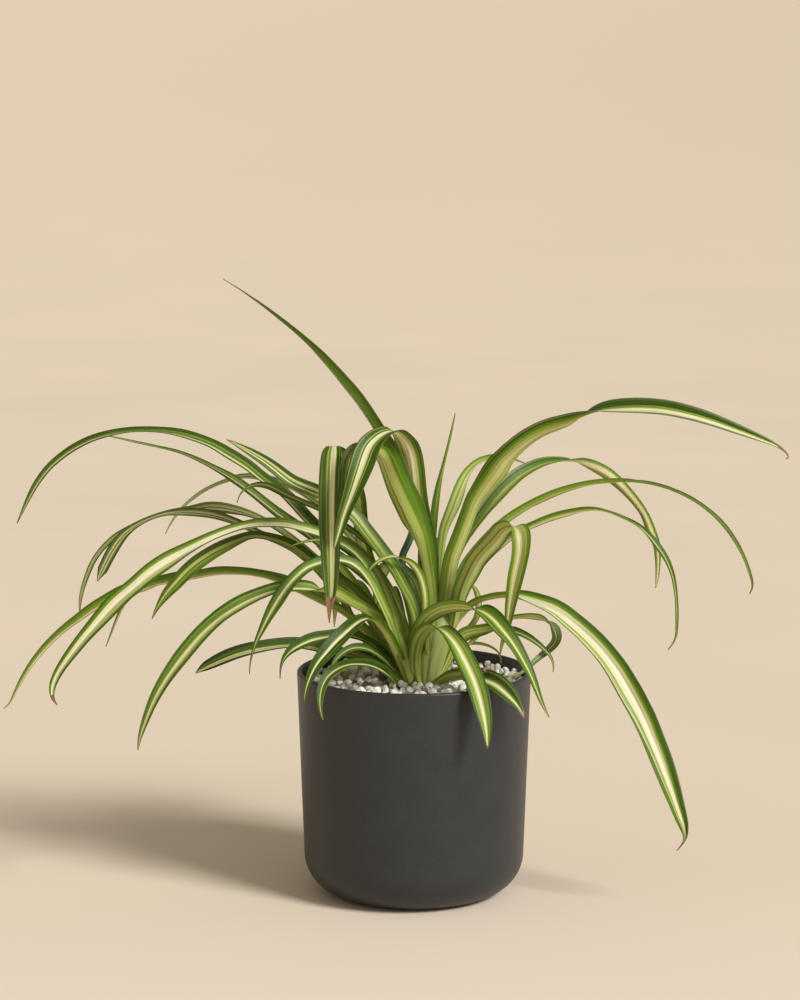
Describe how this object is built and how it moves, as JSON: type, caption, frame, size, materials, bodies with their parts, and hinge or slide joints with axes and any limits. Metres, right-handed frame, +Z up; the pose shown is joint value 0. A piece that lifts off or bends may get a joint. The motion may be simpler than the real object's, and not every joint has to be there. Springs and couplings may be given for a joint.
{
  "type": "potted spider plant",
  "caption": "Spider plant with arching striped strap leaves in a round tapered charcoal pot, pale pebbles over the soil.",
  "frame": {"origin": "centre of the flat underside of the pot", "axes": "+Z up, front of the plant faces -Y, +X to the right seen from the front"},
  "size_m": [0.4666, 0.2026, 0.369],
  "materials": {
    "pot_shell": "matte charcoal, fine soft texture",
    "potting_soil": null,
    "pebbles": "matte, white to grey small gravel",
    "leaf_base": null,
    "leaf_pale": "satin green leaf with a wide cream stripe",
    "leaf_green": "satin green leaf with cream and light green stripes",
    "leaf_dark": "satin dark green leaf with a thin light line"
  },
  "bodies": {
    "root": {"pot": "pot_shell", "soil": "potting_soil", "pebble_layer": "pebbles", "crown_a": "leaf_base", "crown_b": "leaf_base", "crown_c": "leaf_base", "leaf_tall_left": "leaf_green", "leaf_arch_front": "leaf_pale", "leaf_hang_front": "leaf_green", "leaf_arch_mid": "leaf_green", "leaf_spike_centre": "leaf_green", "leaf_mid_right": "leaf_pale", "leaf_arch_right": "leaf_green", "leaf_loop_right": "leaf_green", "leaf_dark_arc_high": "leaf_dark", "leaf_dark_arc_low": "leaf_dark", "leaf_fold_right": "leaf_pale", "leaf_front_right": "leaf_green", "leaf_front_centre": "leaf_green", "leaf_low_right": "leaf_dark", "leaf_wide_right": "leaf_pale", "leaf_loop_low": "leaf_dark", "leaf_pale_low_right": "leaf_pale", "leaf_hook_small": "leaf_green", "leaf_brown_thread": "leaf_dark", "leaf_left_low_dark": "leaf_dark", "leaf_left_low_thin": "leaf_dark", "leaf_front_left": "leaf_green", "leaf_front_left_low": "leaf_green", "leaf_left_inner_arc": "leaf_dark", "leaf_pale_curl": "leaf_pale", "leaf_grey_up": "leaf_green", "leaf_dark_bud": "leaf_dark", "leaf_left_high": "leaf_green", "leaf_left_mid_brown": "leaf_green", "leaf_left_curl": "leaf_green", "leaf_left_thin": "leaf_dark", "leaf_left_outer_a": "leaf_green", "leaf_left_outer_b": "leaf_green", "leaf_left_wide": "leaf_pale", "leaf_left_back_long": "leaf_green", "leaf_left_back_short": "leaf_dark", "leaf_back_ghost": "leaf_dark", "leaf_left_red": "leaf_green", "leaf_left_front_short": "leaf_green", "leaf_left_front_long": "leaf_green", "leaf_dark_short_arc": "leaf_dark", "leaf_olive_back_mid": "leaf_green", "leaf_rear_a": "leaf_green", "leaf_rear_b": "leaf_green", "leaf_rear_c": "leaf_green", "leaf_rear_d": "leaf_dark", "leaf_rear_e": "leaf_green"}
  },
  "joints": []
}
